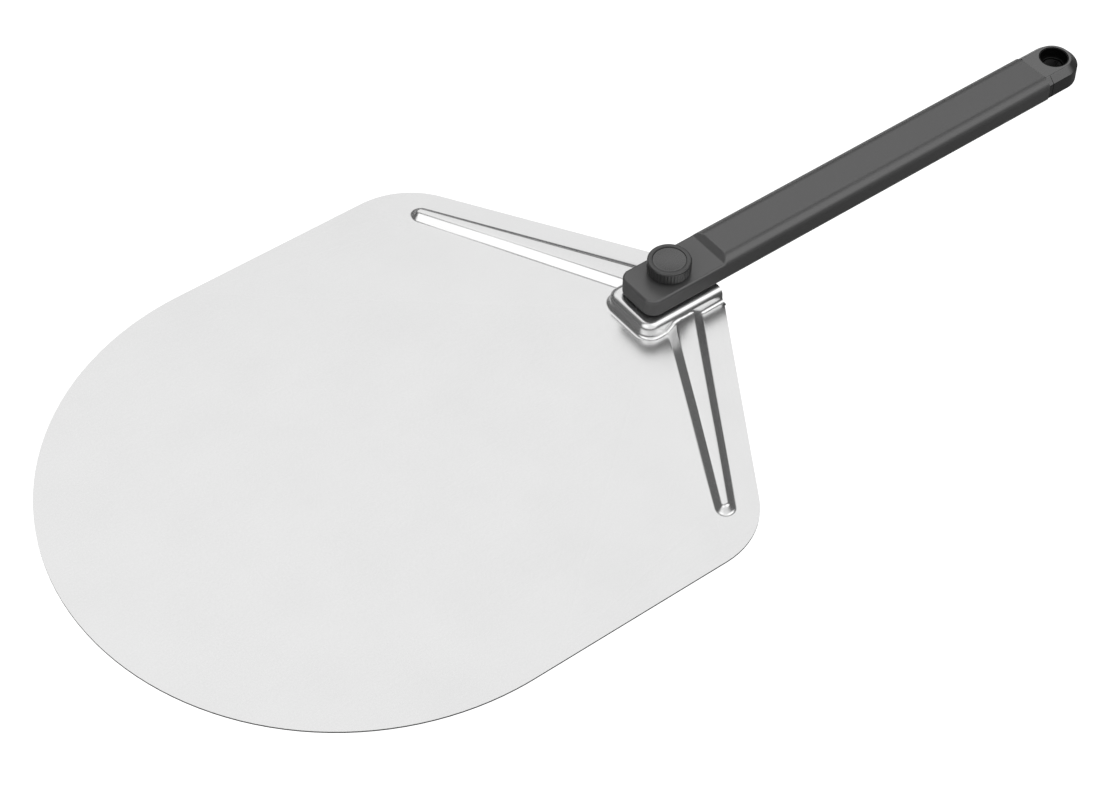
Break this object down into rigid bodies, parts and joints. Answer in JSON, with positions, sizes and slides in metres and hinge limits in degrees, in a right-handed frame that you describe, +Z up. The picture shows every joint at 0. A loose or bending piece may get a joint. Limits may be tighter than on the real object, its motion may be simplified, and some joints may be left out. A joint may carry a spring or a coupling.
{
  "type": "pizza peel",
  "caption": "Folding pizza peel: pressed steel blade with a raised pivot boss and ribs, a swivelling moulded handle with a hanging hole, and a knurled clamping knob.",
  "frame": {"origin": "centre of the whole peel's footprint, on the surface it lies on (underside of the blade)", "axes": "+X along the handle from the blade towards the hanging hole, +Z up through the blade and along the pivot, +Y across the blade"},
  "size_m": [0.6372, 0.305, 0.0298],
  "materials": {
    "blade_steel": "satin",
    "plated_steel": "zinc plated",
    "spring_steel": "blackened",
    "screw_steel": "black zinc",
    "washer_nylon": "plain",
    "handle_plastic": "satin",
    "cap_plastic": "gloss",
    "eyelet_plastic": "plain",
    "knob_plastic": "satin",
    "collar_plastic": "plain",
    "insert_brass": "turned"
  },
  "bodies": {
    "blade_group": {"blade": "blade_steel", "backing_plate": "plated_steel", "pivot_bolt": "plated_steel", "retaining_clip": "spring_steel", "thrust_washer": "washer_nylon"},
    "handle_group": {"handle_shell": "handle_plastic", "handle_cover": "handle_plastic", "handle_core": "plated_steel", "pivot_sleeve": "plated_steel", "spring_washer": "spring_steel", "cover_screws": "screw_steel", "cap_screw": "screw_steel", "end_cap": "cap_plastic", "hang_eyelet": "eyelet_plastic"},
    "collar_group": {"knob_collar": "collar_plastic"},
    "knob_group": {"knob_body": "knob_plastic", "knob_cap": "knob_plastic", "knob_insert": "insert_brass"}
  },
  "joints": [
    {"name": "handle_swivel", "type": "hinge", "parent": "blade_group", "child": "handle_group", "pos_m": [0.03331, 0, 0.0151], "axis": [0, 0, 1], "range_deg": [-180, 180]},
    {"name": "knob_lift", "type": "slide", "parent": "blade_group", "child": "collar_group", "axis": [0, 0, 1], "range_m": [0, 0.001]},
    {"name": "knob_turn", "type": "hinge", "parent": "collar_group", "child": "knob_group", "pos_m": [0.03331, 0, 0.0264], "axis": [0, 0, 1], "range_deg": [0, 360]}
  ],
  "couplings": [
    {"joint": "knob_turn", "follows": "knob_lift", "rad_per_m": 6283.2}
  ]
}
